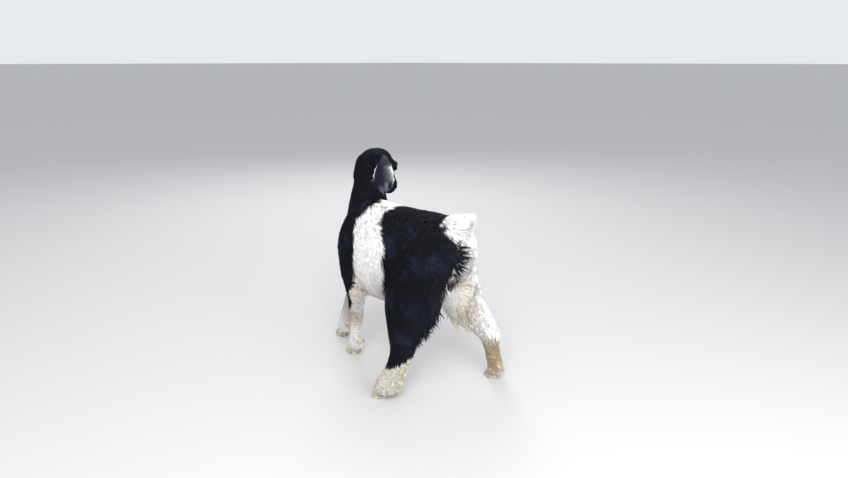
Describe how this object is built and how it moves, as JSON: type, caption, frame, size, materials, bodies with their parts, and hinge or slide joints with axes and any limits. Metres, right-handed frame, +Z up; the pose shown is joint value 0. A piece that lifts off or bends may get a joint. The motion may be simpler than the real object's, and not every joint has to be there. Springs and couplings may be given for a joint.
{
  "type": "goat",
  "caption": "Young goat standing still with its hind legs spread and its head turned over its right shoulder, black and white coat, hanging ears, no horns, short raised tail.",
  "frame": {"origin": "bottom centre of the whole model's box, on the floor under the belly", "axes": "+Z up, -Y where the body points, +X the goat's left"},
  "size_m": [0.4232, 0.6114, 0.6377],
  "materials": {
    "black_coat": "soft, medium-long hair",
    "white_coat": "soft, medium-long hair",
    "horn": "dull claw horn",
    "eye": "wet"
  },
  "bodies": {
    "root": {"ear_left": "black_coat", "ear_right": "black_coat", "eye_left": "eye", "eye_right": "eye", "foreleg_left_cannon": "white_coat", "foreleg_left_claw_inner": "horn", "foreleg_left_claw_outer": "horn", "foreleg_left_dewclaw_inner": "horn", "foreleg_left_dewclaw_outer": "horn", "foreleg_left_foot": "white_coat", "foreleg_left_forearm": "white_coat", "foreleg_right_cannon": "white_coat", "foreleg_right_claw_inner": "horn", "foreleg_right_claw_outer": "horn", "foreleg_right_dewclaw_inner": "horn", "foreleg_right_dewclaw_outer": "horn", "foreleg_right_foot": "white_coat", "foreleg_right_forearm": "white_coat", "head": "black_coat", "hindleg_left_cannon": "white_coat", "hindleg_left_claw_inner": "horn", "hindleg_left_claw_outer": "horn", "hindleg_left_dewclaw_inner": "horn", "hindleg_left_dewclaw_outer": "horn", "hindleg_left_foot": "white_coat", "hindleg_left_shank": "black_coat", "hindleg_left_thigh": "black_coat", "hindleg_right_cannon": "white_coat", "hindleg_right_claw_inner": "horn", "hindleg_right_claw_outer": "horn", "hindleg_right_dewclaw_inner": "horn", "hindleg_right_dewclaw_outer": "horn", "hindleg_right_foot": "white_coat", "hindleg_right_shank": "white_coat", "hindleg_right_thigh": "white_coat", "neck": "black_coat", "tail": "white_coat", "trunk": "black_coat"}
  },
  "joints": []
}
